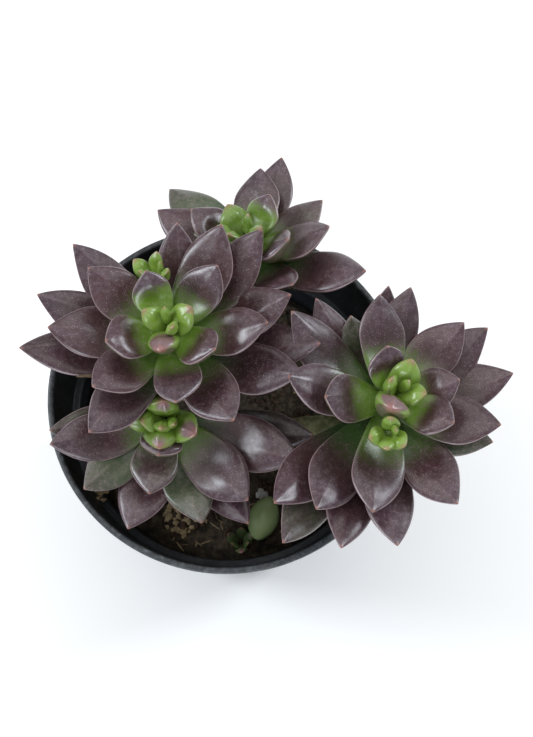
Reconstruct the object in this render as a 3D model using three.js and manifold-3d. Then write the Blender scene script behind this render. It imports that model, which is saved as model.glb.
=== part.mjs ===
// Potted sedeveria: four rosettes of thick leaves on short stems, with two small offsets,
// in a round black nursery pot filled with soil. Millimetres, +Z up, origin at the centre of
// the pot's flat base. The plant's front, where the soil shows, faces -Y.
import * as THREE from "three";
import { mergeVertices } from "three/addons/utils/BufferGeometryUtils.js";
import Module from "manifold-3d";

const wasm = await Module();
wasm.setup();

// ---- driving dimensions -----------------------------------------------------------------

const GAP = 0.3; // clearance between pieces that touch
const GOLDEN_ANGLE = 137.5; // degrees from one leaf to the next older one, clockwise from above

const POT = {
  height: 76,
  rimRadius: 45,
  lip: 1.5, // width of the rim's flat top
  collarTopRadius: 43.8, // outside, just under the lip
  collarHeight: 18, // from the rim down to the inner ledge
  collarFootRadius: 41.8, // outside
  ledgeRadius: 38.6, // inside, where the ledge meets the lower wall
  baseRadius: 31,
  wall: 1.2,
  floor: 1.6,
  segments: 40,
};
const DRAIN = { count: 6, width: 8, length: 7, height: 4 };
const SOIL = {
  centreHeight: 57, // out to half the radius
  shoulderHeight: 55.5, // at the shoulder, from which it falls away to the wall
  edgeHeight: 51.5,
  shoulder: 0.93, // of the radius
};

const LEAF = {
  widestAt: 0.6, // of the length from the base
  baseWidth: 0.42, // of the full width
  thickness: 0.33, // of the full width
  bow: 0.09, // sag of the midrib below the straight line, of the length
};
const LEAF_MESH = { stations: [0, 0.3, 0.6, 0.86], sides: 6 };
const HEART_LEAF_MESH = { stations: [0, 0.6], sides: 5 };

const STEM = {
  radius: 2.6,
  below: 9, // how far below the heart's top the stem starts
  straightTo: [16, 24], // further depths at which it still follows the rosette's axis
  buried: 9, // how far it goes on below the soil's top
  sides: 3,
  steps: 8,
};
const BASE_STEP = 0.72; // how much lower each older leaf is attached

// ---- the plant --------------------------------------------------------------------------

// Each leaf is [azimuth in degrees, reach of its tip from the rosette's axis, rise of its tip
// above the top of the heart, width], youngest first. A rosette leans by `lean` degrees
// towards azimuth `toward`, `foot` is where its stem leaves the soil, and `heartSize` is the
// length of the largest leaf in its heart. `inner` leaves are grown together with the heart,
// `lower` ones with the stem.
const ROSETTES = [
  {
    name: "a",
    heart: [-14, 8.5, 110],
    lean: 4,
    toward: 180,
    foot: [-6, 4],
    heartSize: 6.3,
    inner: [
      [112, 13, 1, 9.5],
      [328, 14, 0.5, 10.5],
      [199, 14.5, 0, 11.5],
    ],
    leaves: [
      [50, 18.5, -1, 11],
      [279, 19.5, -2, 11.5],
      [142, 24, -3, 12],
      [0, 24, -4, 12],
      [219, 22.5, -5, 12.5],
      [64, 29, -6, 13],
      [304, 27.5, -7, 13],
      [178, 29, -7, 13],
      [163, 34, -9.5, 12],
      [50, 34, -9, 12],
      [232, 30.5, -10, 13],
      [19, 30.5, -10, 12.5],
      [135, 34, -11, 11.5],
      [342, 33, -12, 13],
      [357, 36, -12.5, 12.5],
    ],
    lower: [
      [88, 28, -9, 11],
      [182, 37, -13, 12.5],
    ],
  },
  {
    name: "b",
    heart: [41.8, -6.1, 104],
    lean: 14,
    toward: 10,
    foot: [15, -4],
    heartSize: 6,
    inner: [
      [99, 9, 1, 8.5],
      [326, 14.5, 0, 10.5],
      [14, 15.5, -1, 10.5],
    ],
    leaves: [
      [188, 19, -1, 12],
      [100, 25, -4, 11.5],
      [48, 26, -4, 12],
      [259, 29.5, -6, 13],
      [174, 26.5, -6, 12.5],
      [349, 27, -6, 13],
      [81, 29, -7, 11],
      [300, 29.5, -7, 13.5],
      [141, 32, -9, 12.5],
      [38, 32, -8, 12],
      [15, 32.5, -8.5, 12.5],
      [236, 33.5, -10, 13.5],
      [272, 35.5, -10, 12.5],
      [125, 31, -12, 11],
      [251, 38, -13, 12.5],
      [224, 38, -14, 13],
    ],
    lower: [
      [344, 28, -13, 11.5],
      [109, 24, -14, 11.5],
      [234, 43, -16, 12.5],
      [90, 29, -8.5, 10],
    ],
  },
  {
    name: "c",
    heart: [3.3, 38.1, 97],
    lean: 25,
    toward: 110,
    foot: [3, 13],
    heartSize: 6,
    inner: [
      [49, 11, 0.5, 9],
      [328, 14, 0, 10.5],
      [150, 14.5, -1, 10.5],
    ],
    leaves: [
      [80, 23, -4, 12],
      [2, 21.5, -5, 12],
      [32, 23, -7, 11.5],
      [151, 26, -6, 12.5],
      [309, 20, -7, 11],
      [74, 29.5, -6, 12],
      [131, 31, -9, 12.5],
      [340, 32, -9, 13],
    ],
    lower: [
      [196, 25, -9, 12],
      [238, 24, -11, 12],
    ],
  },
  {
    name: "d",
    heart: [-14.9, -9.8, 93],
    lean: 10,
    toward: 255,
    foot: [-9, -6],
    heartSize: 7.5,
    inner: [
      [100, 8.5, -0.5, 8],
      [262, 9.5, -1.5, 10.5],
    ],
    leaves: [
      [259, 19, -4, 11.5],
      [315, 28.5, -5, 13.5],
      [194, 29, -5.5, 12],
      [343, 34, -6.5, 13.5],
      [220, 26.5, -8, 12],
      [289, 27, -8, 12],
      [251, 28.5, -8.5, 12.5],
    ],
    lower: [
      [185, 29, -8, 10],
      [308, 32.5, -11, 11],
      [354, 36, -10.5, 11],
    ],
  },
];

// Offsets: small whole rosettes. `size` is the length of the largest leaf.
const OFFSETS = [
  { name: "offset_behind_a", top: [-17.5, 25, 105], lean: 18, toward: 100, first: 60, size: 7 },
  { name: "offset_on_b", top: [37, -17, 104.5], lean: 12, toward: 250, first: 200, size: 7 },
  { name: "small_offset", top: [4.5, -34.5, 60.5], lean: 0, toward: 0, first: 20, size: 5 },
];

const FALLEN_LEAF = { centre: [9, -28, 59.6], halfSizes: [6, 3.8, 3.4], azimuth: 72 };

const COLOURS = {
  pot: 0x16181a,
  soil: 0x3a2a1e,
  stem: 0x6f7a4a,
  heart: 0x7fae35,
  youngLeaf: 0x5f5a4e,
  leaf: 0x54404a,
  oldLeaf: 0x6a7a66,
  fallenLeaf: 0x7dbb2c,
};

// ---- solids -----------------------------------------------------------------------------

const radians = THREE.MathUtils.degToRad;

// A closed geometry as a manifold solid, with only positions left and shared vertices merged.
function solidOf(geometry) {
  const bare = geometry.clone();
  bare.deleteAttribute("normal");
  bare.deleteAttribute("uv");
  const merged = mergeVertices(bare, 1e-4);
  return new wasm.Manifold(
    new wasm.Mesh({
      numProp: 3,
      vertProperties: new Float32Array(merged.attributes.position.array),
      triVerts: new Uint32Array(merged.index.array),
    }),
  );
}

// A manifold solid as a geometry for a THREE.Mesh.
function geometryOf(solid) {
  const made = solid.getMesh();
  const geometry = new THREE.BufferGeometry();
  geometry.setAttribute("position", new THREE.BufferAttribute(made.vertProperties, 3));
  geometry.setIndex(new THREE.BufferAttribute(made.triVerts, 1));
  geometry.computeVertexNormals();
  return geometry;
}

// The largest piece of a solid that a cut has left in several.
function largestPiece(solid) {
  const pieces = solid.decompose();
  return pieces.reduce((best, piece) => (piece.volume() > best.volume() ? piece : best));
}

// A solid of revolution about Z from [radius, height] pairs that run from axis to axis,
// counter-clockwise with the axis on the left.
function turned(profile, segments) {
  const points = profile.map(([radius, height]) => new THREE.Vector2(radius, height));
  return new THREE.LatheGeometry(points, segments).rotateX(Math.PI / 2);
}

// A closed skin through rings of equal point count, ending in a point at the far end.
function lofted(rings, tip) {
  const sides = rings[0].length;
  const positions = rings.flat().flatMap((point) => point.toArray());
  const index = [];
  for (let ring = 0; ring + 1 < rings.length; ring += 1) {
    for (let side = 0; side < sides; side += 1) {
      const next = (side + 1) % sides;
      const [a, b] = [ring * sides + side, ring * sides + next];
      index.push(a, b + sides, b, a, a + sides, b + sides);
    }
  }
  const last = (rings.length - 1) * sides;
  const tipIndex = positions.length / 3;
  positions.push(...tip.toArray());
  for (let side = 0; side < sides; side += 1) {
    index.push(last + side, tipIndex, last + ((side + 1) % sides));
  }
  for (let side = 1; side + 1 < sides; side += 1) {
    index.push(0, side, side + 1);
  }
  const geometry = new THREE.BufferGeometry();
  geometry.setAttribute("position", new THREE.Float32BufferAttribute(positions, 3));
  geometry.setIndex(index);
  return geometry;
}

// ---- leaves -----------------------------------------------------------------------------

// The frame of a rosette: origin at the top of its heart, Z along its axis.
function rosetteFrame(top, lean, toward) {
  const tiltAxis = new THREE.Vector3(-Math.sin(radians(toward)), Math.cos(radians(toward)), 0);
  const turn = new THREE.Quaternion().setFromAxisAngle(tiltAxis, radians(lean));
  return new THREE.Matrix4().compose(new THREE.Vector3(...top), turn, new THREE.Vector3(1, 1, 1));
}

// Half of a leaf's width, as a share of its largest, at t from base (0) to tip (1).
function leafOutline(t) {
  if (t < LEAF.widestAt) {
    const rise = Math.sin((Math.PI / 2) * (t / LEAF.widestAt));
    return LEAF.baseWidth + (1 - LEAF.baseWidth) * rise ** 1.2;
  }
  return Math.cos((Math.PI / 2) * ((t - LEAF.widestAt) / (1 - LEAF.widestAt))) ** 0.9;
}

// The leaf's thickness, as a share of its largest, at t from base to tip.
function leafDepth(t) {
  return 0.55 + 0.45 * Math.sin(Math.PI * Math.min(1, t + 0.12)) - 0.42 * t ** 4;
}

// One leaf in its rosette's frame: a flat-topped, keeled, pointed blade that bows downwards.
function leafGeometry({ azimuth, reach, rise, base, start, width }, grow, mesh = LEAF_MESH) {
  const angle = radians(azimuth);
  const outward = new THREE.Vector3(Math.cos(angle), Math.sin(angle), 0);
  const side = new THREE.Vector3(-Math.sin(angle), Math.cos(angle), 0);
  const foot = outward.clone().multiplyScalar(start).setZ(base);
  const tip = outward.clone().multiplyScalar(reach).setZ(rise);
  const chord = tip.clone().sub(foot);
  const length = chord.length();
  const upward = new THREE.Vector3().crossVectors(chord, side).normalize();
  const middle = foot.clone().lerp(tip, 0.5).addScaledVector(upward, -2 * LEAF.bow * length);
  const midrib = new THREE.QuadraticBezierCurve3(foot, middle, tip);
  const rings = mesh.stations.map((t) => {
    const centre = midrib.getPoint(t);
    const along = midrib.getTangent(t);
    const up = new THREE.Vector3().crossVectors(along, side).normalize();
    const half = (width / 2) * leafOutline(t) + grow;
    const depth = width * LEAF.thickness * leafDepth(t);
    return Array.from({ length: mesh.sides }, (_, corner) => {
      const turn = (2 * Math.PI * corner) / mesh.sides;
      const lift = Math.sin(turn) > 0 ? 0.36 * depth + grow : 0.64 * depth + grow;
      return centre
        .clone()
        .addScaledVector(side, -half * Math.cos(turn))
        .addScaledVector(up, lift * Math.sin(turn));
    });
  });
  return lofted(rings, tip.clone().addScaledVector(chord.normalize(), grow));
}

// The leaves between the growing point and the first open leaf, which follow the same spiral.
function heartLeaves(first, size) {
  return Array.from({ length: 6 }, (_, step) => {
    const open = 1 - step / 7;
    return {
      azimuth: first + GOLDEN_ANGLE * (step + 1),
      reach: size * (0.2 + 0.62 * open),
      rise: size * (-0.16 + 0.18 * Math.sin(Math.PI * open)),
      base: -1.35 * size,
      start: 0.3,
      width: size * (0.45 + 0.4 * open),
    };
  });
}

// The stub that the heart's leaves grow from.
function heartCore(size, grow) {
  const profile = [
    [0, -1.6 * size - grow],
    [0.34 * size + grow, -1.6 * size - grow],
    [0.34 * size + grow, -1.1 * size],
    [0.16 * size + grow, -0.6 * size],
    [0, -0.5 * size + grow],
  ];
  return turned(profile, 8);
}

function joined(geometries, frame) {
  return geometries
    .map((geometry) => solidOf(geometry.applyMatrix4(frame)))
    .reduce((sum, solid) => sum.add(solid));
}

// ---- stems, pot, soil -------------------------------------------------------------------

// The stem's centre line: straight along the rosette's axis under its leaves, then down into
// the soil at the foot.
function stemPath(rosette, frame) {
  const onAxis = (height) => new THREE.Vector3(0, 0, height).applyMatrix4(frame);
  const [x, y] = rosette.foot;
  return new THREE.CatmullRomCurve3([
    onAxis(-STEM.below - 1),
    ...STEM.straightTo.map((depth) => onAxis(-depth)),
    new THREE.Vector3(x, y, SOIL.centreHeight + 1),
    new THREE.Vector3(x * 0.9, y * 0.9, SOIL.centreHeight - STEM.buried),
  ]);
}

function stemGeometry(path, grow) {
  const section = new THREE.Shape().absarc(0, 0, STEM.radius + grow, 0, 2 * Math.PI, false);
  return new THREE.ExtrudeGeometry(section, {
    steps: STEM.steps,
    curveSegments: STEM.sides,
    extrudePath: path,
    bevelEnabled: false,
  });
}

function potWallRadius(height) {
  const ledgeHeight = POT.height - POT.collarHeight;
  return THREE.MathUtils.lerp(POT.baseRadius, POT.ledgeRadius + POT.wall, height / ledgeHeight);
}

function potSolid() {
  const ledge = POT.height - POT.collarHeight;
  const profile = [
    [0, 0],
    [POT.baseRadius - 1, 0],
    [POT.baseRadius, 1],
    [potWallRadius(ledge - 1), ledge - 1],
    [POT.collarFootRadius - 0.6, ledge - 0.2],
    [POT.collarFootRadius, ledge + 0.6],
    [POT.collarTopRadius, POT.height - 2],
    [POT.rimRadius, POT.height - 1.6],
    [POT.rimRadius, POT.height - 0.4],
    [POT.rimRadius - 0.4, POT.height],
    [POT.rimRadius - POT.lip + 0.3, POT.height],
    [POT.rimRadius - POT.lip, POT.height - 0.4],
    [POT.collarFootRadius - POT.wall, ledge + 1.4],
    [POT.ledgeRadius, ledge + 0.6],
    [potWallRadius(POT.floor) - POT.wall, POT.floor],
    [0, POT.floor],
  ];
  let pot = solidOf(turned(profile, POT.segments));
  for (let hole = 0; hole < DRAIN.count; hole += 1) {
    const notch = new THREE.BoxGeometry(DRAIN.length, DRAIN.width, DRAIN.height)
      .translate(POT.baseRadius - 1.5, 0, DRAIN.height / 2 - 1)
      .rotateZ((2 * Math.PI * hole) / DRAIN.count);
    pot = pot.subtract(solidOf(notch));
  }
  return pot;
}

function soilSolid() {
  const bottom = POT.floor + GAP;
  const inside = (height) => potWallRadius(height) - POT.wall - GAP;
  const profile = [
    [0, bottom],
    [inside(bottom), bottom],
    [inside(SOIL.edgeHeight), SOIL.edgeHeight],
    [inside(SOIL.edgeHeight) * SOIL.shoulder, SOIL.shoulderHeight],
    [inside(SOIL.edgeHeight) * 0.5, SOIL.centreHeight],
    [0, SOIL.centreHeight],
  ];
  return solidOf(turned(profile, POT.segments));
}

function fallenLeafSolid() {
  const { centre, halfSizes, azimuth } = FALLEN_LEAF;
  const plump = new THREE.SphereGeometry(1, 12, 8)
    .scale(...halfSizes)
    .rotateZ(radians(azimuth))
    .translate(...centre);
  return solidOf(plump);
}

// ---- assembly ---------------------------------------------------------------------------

const group = new THREE.Group();
const placed = []; // solids already in the model, each grown by the gap, which later ones give way to

function addPiece(name, solid, colour, roughness) {
  const material = new THREE.MeshStandardMaterial({ color: colour, roughness, metalness: 0 });
  const mesh = new THREE.Mesh(geometryOf(solid), material);
  mesh.name = name;
  group.add(mesh);
}

function boxesMeet(one, other) {
  const [a, b] = [one.boundingBox(), other.boundingBox()];
  return [0, 1, 2].every((k) => a.min[k] < b.max[k] && b.min[k] < a.max[k]);
}

// A piece with everything cut away that already placed pieces, and their gap, take up.
function fitted(solid) {
  const near = placed.filter((other) => boxesMeet(solid, other));
  return largestPiece(near.reduce((rest, other) => rest.subtract(other), solid));
}

// Adds a piece made by `shape`, a function of how far it is grown, and reserves its room.
function place(name, shape, colour, roughness = 0.5) {
  addPiece(name, fitted(shape(0)), colour, roughness);
  placed.push(shape(GAP));
}

function leafAt([azimuth, reach, rise, width], order) {
  const base = -STEM.below - 0.5 - BASE_STEP * order;
  return { azimuth, reach, rise, width, base, start: STEM.radius * 0.6 };
}

const pot = potSolid();
addPiece("pot", pot, COLOURS.pot, 0.45);
placed.push(pot);

place("fallen_leaf", fallenLeafSolid, COLOURS.fallenLeaf, 0.4);

for (const { name, top, lean, toward, first, size } of OFFSETS) {
  const frame = rosetteFrame(top, lean, toward);
  const shape = (grow) =>
    joined(
      [
        heartCore(size * 0.8, grow),
        ...heartLeaves(first, size).map((leaf) => leafGeometry(leaf, grow, HEART_LEAF_MESH)),
      ],
      frame,
    );
  place(name, shape, COLOURS.heart);
}

const frames = new Map();
for (const rosette of ROSETTES) {
  const frame = rosetteFrame(rosette.heart, rosette.lean, rosette.toward);
  frames.set(rosette, frame);
  const shape = (grow) =>
    joined(
      [
        heartCore(rosette.heartSize, grow),
        ...heartLeaves(rosette.inner[0][0], rosette.heartSize).map((leaf) =>
          leafGeometry(leaf, grow, HEART_LEAF_MESH),
        ),
        ...rosette.inner.map((leaf, order) => leafGeometry(leafAt(leaf, order - 3), grow)),
      ],
      frame,
    );
  place(`heart_${rosette.name}`, shape, COLOURS.heart);
}

for (const rosette of ROSETTES) {
  const frame = frames.get(rosette);
  const path = stemPath(rosette, frame);
  const count = rosette.leaves.length;
  const shape = (grow) =>
    joined([stemGeometry(path, grow)], new THREE.Matrix4()).add(
      joined(
        rosette.lower.map((leaf, order) => leafGeometry(leafAt(leaf, count + order), grow)),
        frame,
      ),
    );
  place(`stem_${rosette.name}`, shape, COLOURS.stem, 0.7);
}

for (const rosette of ROSETTES) {
  rosette.leaves.forEach((leaf, order) => {
    const shape = (grow) => joined([leafGeometry(leafAt(leaf, order), grow)], frames.get(rosette));
    const number = String(order + 1).padStart(2, "0");
    place(`leaf_${rosette.name}_${number}`, shape, COLOURS.leaf);
  });
}

addPiece("soil", fitted(soilSolid()), COLOURS.soil, 0.95);

export default group;
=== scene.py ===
"""The looks of a potted sedeveria: leaves, hearts, stems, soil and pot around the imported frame.

Everything is in metres, in the frame's own axes. The open leaves, the rim, the soil's top and the
fallen leaf are measured from their CAD nodes. Each rosette's axis, and the leaves that share a
node with a heart or a stem, are in the tables below.
"""

import math

import bpy
import numpy as np
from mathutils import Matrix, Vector, noise


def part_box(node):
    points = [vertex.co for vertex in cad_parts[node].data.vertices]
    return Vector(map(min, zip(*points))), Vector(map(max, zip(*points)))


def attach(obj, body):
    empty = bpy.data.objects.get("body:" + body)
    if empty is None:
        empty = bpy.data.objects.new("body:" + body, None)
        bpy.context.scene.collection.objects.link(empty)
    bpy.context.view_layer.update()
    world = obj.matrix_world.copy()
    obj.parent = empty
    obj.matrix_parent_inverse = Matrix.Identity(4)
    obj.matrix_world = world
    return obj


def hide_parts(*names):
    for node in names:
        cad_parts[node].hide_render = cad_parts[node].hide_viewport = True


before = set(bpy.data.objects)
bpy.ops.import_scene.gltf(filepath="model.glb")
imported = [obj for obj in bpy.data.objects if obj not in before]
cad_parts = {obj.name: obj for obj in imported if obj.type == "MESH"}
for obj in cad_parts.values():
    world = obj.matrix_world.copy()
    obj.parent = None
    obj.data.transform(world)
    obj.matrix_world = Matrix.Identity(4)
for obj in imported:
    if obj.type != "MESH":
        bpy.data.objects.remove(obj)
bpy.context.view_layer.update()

MM = 0.001
RNG = np.random.default_rng(11)  # every random draw comes from here, in the script's order

# ---- proportions shared with the solids ---------------------------------------------------

LEAF_BASE_TOP = 9.5 * MM  # how far below the heart's top the youngest open leaf is attached
LEAF_BASE_STEP = 0.72 * MM  # how much lower each older leaf is attached
WIDEST_LEAF = 13.5  # millimetres
STEM_RADIUS = 2.6 * MM
LEAF_START = 0.6  # how far from the axis a leaf starts, of the stem's radius
WIDEST_AT = 0.6  # of a leaf's length, from its base
BASE_WIDTH = 0.42  # of a leaf's full width
THICKNESS = 0.33  # of a leaf's full width
BOW = 0.09  # sag of the midrib below the straight line, of the length

# Each rosette: the top of its heart in millimetres, and its axis' lean and bearing in degrees.
# "inner" and "lower" leaves are [azimuth, reach, rise, width]: they share a node with the heart
# and with the stem. Lower ones add how weathered they are. A few inner ones lie up to 3.3 mm from
# their CAD twins, after the photo. The open leaves are measured from their own nodes.
ROSETTES = {
    "a": {
        "heart": (-14, 8.5, 110), "lean": 4, "toward": 180, "leaves": 15,
        "inner": [[112, 13, 0.9, 9.5], [328, 14, 0.5, 10.5], [199, 14.5, 0, 11.5]],
        "lower": [[88, 28, -9, 11, 0], [182, 37, -13, 12.5, 0.1]],
    },
    "b": {
        "heart": (41.8, -6.1, 104), "lean": 14, "toward": 10, "leaves": 16,
        "inner": [[116, 10.5, 1, 9.5], [327, 14.5, 0, 11], [14, 15, -1, 10.5]],
        "lower": [
            [344, 28, -13, 11.5, 0.85], [109, 24, -14, 11.5, 0.9],
            [234, 43, -16, 12.5, 0.5], [90, 29, -8.5, 10, 0],
        ],
    },
    "c": {
        "heart": (3.3, 38.1, 97), "lean": 25, "toward": 110, "leaves": 8,
        "inner": [[49, 11, 0.5, 10], [328, 14, 0, 10.5], [150, 14.5, -1, 10.5]],
        "lower": [[196, 25, -9, 12, 0.2], [238, 24, -11, 12, 0.3]],
    },
    "d": {
        "heart": (-14.9, -9.8, 93), "lean": 10, "toward": 255, "leaves": 7,
        "inner": [[100, 8.5, -0.5, 8], [262, 9.5, -1.5, 10.5]],
        "lower": [[185, 29, -8, 10, 0.6], [308, 32.5, -11, 11, 0.1], [354, 36, -10.5, 11, 0.45]],
    },
}

# The fat leaves of each heart: [azimuth, reach, rise, width, where the purple begins].
# A start above 1 leaves the whole bud green but for the spot at its point.
HEARTS = {
    "a": [
        [152, 5.9, 0.1, 5.6, 1.0], [26, 7.1, 0.2, 7.0, 0.9], [262, 7.4, 0.0, 7.4, 0.3],
        [90, 3.4, 0.6, 2.6, 1.2], [318, 2.6, 0.7, 4.0, 1.1],
    ],
    "b": [
        [72, 7.6, 0.4, 7.6, 0.95], [240, 6.8, 1.4, 9.2, 0.35], [348, 5.6, 0.7, 6.0, 1.05],
        [152, 3.8, 0.8, 5.0, 1.1], [50, 2.2, 1.0, 2.6, 1.2],
    ],
    "c": [
        [118, 7.0, 0.4, 8.0, 1.0], [238, 5.0, 0.4, 5.0, 1.2], [330, 6.0, 0.4, 6.2, 1.0],
        [190, 6.0, 0.0, 6.0, 1.0], [40, 2.8, 1.0, 3.2, 1.2],
    ],
    "d": [
        [88, 3.4, 2.0, 8.2, 0.7], [196, 5.6, 0.4, 5.8, 1.15], [262, 8.0, -0.6, 8.4, 0.75],
        [330, 9.0, -1.2, 8.2, 0.6], [188, 9.2, -2.8, 6.8, 1.0], [262, 3.4, 0.8, 5.0, 1.2],
        [320, 3.6, 0.6, 3.8, 1.2],
    ],
}
BUD_AGES = {"a": -0.4, "b": -0.3, "c": 0.05, "d": -0.2}

# Young side rosettes: heart top in millimetres, lean and bearing in degrees, leaves as above.
OFFSETS = {
    "offset_behind_a": {
        "heart": (-17.3, 24.2, 104.4), "lean": 18, "toward": 100,
        "leaves": [
            [80, 4.2, 0.2, 3.6, 1.2], [205, 3.8, 0.0, 3.4, 1.2], [330, 4.4, 0.6, 3.8, 1.1],
            [150, 5.8, -1.2, 4.6, 1.1], [20, 2.0, 0.6, 2.4, 1.2], [265, 3.4, 0.0, 3.2, 1.2],
        ],
    },
    "offset_on_b": {
        "heart": (38.2, -16.8, 104.5), "lean": 12, "toward": 250,
        "leaves": [
            [82, 3.4, 0.6, 4.4, 1.1], [262, 4.2, 0.0, 4.4, 1.05], [196, 4.8, -0.4, 4.8, 1.0],
            [318, 5.0, -1.0, 5.0, 1.2], [20, 1.8, 0.8, 2.6, 1.2],
        ],
    },
    "small_offset": {
        "heart": (3.2, -33.4, 60.3), "lean": 0, "toward": 0,
        "leaves": [
            [20, 3.2, -0.6, 3.0, 0.8], [158, 3.6, -0.9, 3.2, 0.7], [275, 3.6, -0.4, 3.2, 0.6],
            [85, 3.0, -0.5, 2.8, 0.8], [215, 2.6, 0.1, 2.6, 1.0], [330, 2.4, 0.2, 2.4, 1.0],
        ],
    },
}


# ---- measuring the frame ------------------------------------------------------------------

def node_points(name):
    """The distinct vertices of a CAD node."""
    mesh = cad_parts[name].data
    points = np.empty(len(mesh.vertices) * 3)
    mesh.vertices.foreach_get("co", points)
    return np.unique(points.reshape(-1, 3).round(6), axis=0)


class RosetteFrame:
    """A rosette's own axes: origin at the top of its heart, z along its axis."""

    def __init__(self, heart, lean, toward):
        self.top = np.array(heart) * MM
        lean, toward = math.radians(lean), math.radians(toward)
        self.axis = np.array([
            math.sin(lean) * math.cos(toward), math.sin(lean) * math.sin(toward), math.cos(lean),
        ])
        turn = np.array([-math.sin(toward), math.cos(toward), 0])
        self.x = self._rotated(np.array([1.0, 0, 0]), turn, lean)
        self.y = self._rotated(np.array([0, 1.0, 0]), turn, lean)

    @staticmethod
    def _rotated(vector, turn, angle):
        along = turn * (turn @ vector) * (1 - math.cos(angle))
        return vector * math.cos(angle) + np.cross(turn, vector) * math.sin(angle) + along

    def local(self, points):
        offset = points - self.top
        return np.stack([offset @ self.x, offset @ self.y, offset @ self.axis], axis=-1)

    def world(self, points):
        return self.top + points @ np.stack([self.x, self.y, self.axis])


def leaf_measures(azimuth, reach, rise, width, order):
    return {
        "angle": math.radians(azimuth),
        "reach": reach * MM,
        "rise": rise * MM,
        "width": width * MM,
        "base": -LEAF_BASE_TOP - LEAF_BASE_STEP * order,
        "start": STEM_RADIUS * LEAF_START,
    }


def measured_leaf(rosette, node, order):
    """An open leaf's azimuth, reach, rise and width, from its node's vertices."""
    points = rosette.local(node_points(node)) / MM
    tip = points[np.hypot(points[:, 0], points[:, 1]).argmax()]
    angle = math.atan2(tip[1], tip[0])
    sideways = points[:, 1] * math.cos(angle) - points[:, 0] * math.sin(angle)
    reach = math.hypot(tip[0], tip[1])
    width = min(2 * np.abs(sideways).max(), WIDEST_LEAF)
    return leaf_measures(math.degrees(angle), reach, tip[2], width, order)


# ---- leaf geometry ------------------------------------------------------------------------

# Outline: how round the shoulder and the point are, and how a blunt bud differs.
SHOULDER_POWER, POINT_POWER, BLUNT_POINT = 1.2, 0.88, 0.16
BLUNT_WIDEST_SHIFT, BLUNT_BASE_WIDTH = 0.1, 0.4
# Thickness: at the base, its swell, where that starts, and how it falls away to the tip.
BASE_DEPTH, DEPTH_SWELL, SWELL_START, BLUNT_TIP_DEPTH = 0.55, 0.45, 0.12, 0.25
TIP_FALL, BLUNT_TIP_FALL, TIP_ROUND, BLUNT_TIP_ROUND = 5, 2, 0.55, 0.1
# Section: the upper face's bulge, what the tip and a bud change in it, and the keel below.
UPPER_DOME, TIP_DOME, BLUNT_DOME, KEEL = 0.3, 0.24, 0.1, 0.64
DOME_POWER, TIP_DOME_POWER, KEEL_POWER, TIP_KEEL_POWER = 1.3, 0.25, 1.15, 0.5
SIDE_POWER = 0.92
TIPWARD = (0.42, 0.8)  # where along the leaf the tip's section takes over
# The hollow of the upper face: where it starts and fades, its steepness and its middle height.
CUP_STARTS, CUP_FADES, CUP_POWER, CUP_MIDDLE = (0, 0.25), (0.35, 0.88), 1.6, 0.55
# The ridge to the tip: its height, of the width, and its place and spread across the leaf.
CREASE, BLUNT_CREASE, CREASE_PLACE, CREASE_SPREAD = 0.03, 0.04, 0.12, 0.16
MARGIN_WAVE, MARGIN_WAVES, WAVE_SHIFT = 0.012, 9, 40
ROW_CROWDING = 1.45  # rings lie closer together towards the tip
# Buds: how deep they are attached, in millimetres, how much deeper the long ones are, and where.
BUD_DEPTH, BUD_DEPTH_SLOPE, BUD_START = 3.0, 0.55, 0.9 * MM


def smooth(low, high, value):
    share = np.clip((value - low) / (high - low), 0, 1)
    return share * share * (3 - 2 * share)


def outline(t, blunt):
    """Half of a leaf's width, as a share of its largest, from base to tip."""
    widest = WIDEST_AT - BLUNT_WIDEST_SHIFT * blunt
    foot = BASE_WIDTH + BLUNT_BASE_WIDTH * blunt
    early = foot + (1 - foot) * np.sin(np.pi / 2 * np.clip(t / widest, 0, 1)) ** SHOULDER_POWER
    past = np.clip((t - widest) / (1 - widest), 0, 1)
    late = np.cos(np.pi / 2 * past) ** (POINT_POWER - BLUNT_POINT * blunt)
    return np.where(t < widest, early, late)


def depth_share(t, blunt):
    """A leaf's thickness, as a share of its largest, from base to tip."""
    full = BASE_DEPTH + DEPTH_SWELL * np.sin(np.pi * np.minimum(1, t + SWELL_START))
    fall = 1 - t ** (TIP_FALL - BLUNT_TIP_FALL * blunt)
    return (full + BLUNT_TIP_DEPTH * blunt * t) * fall ** (TIP_ROUND + BLUNT_TIP_ROUND * blunt)


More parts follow.
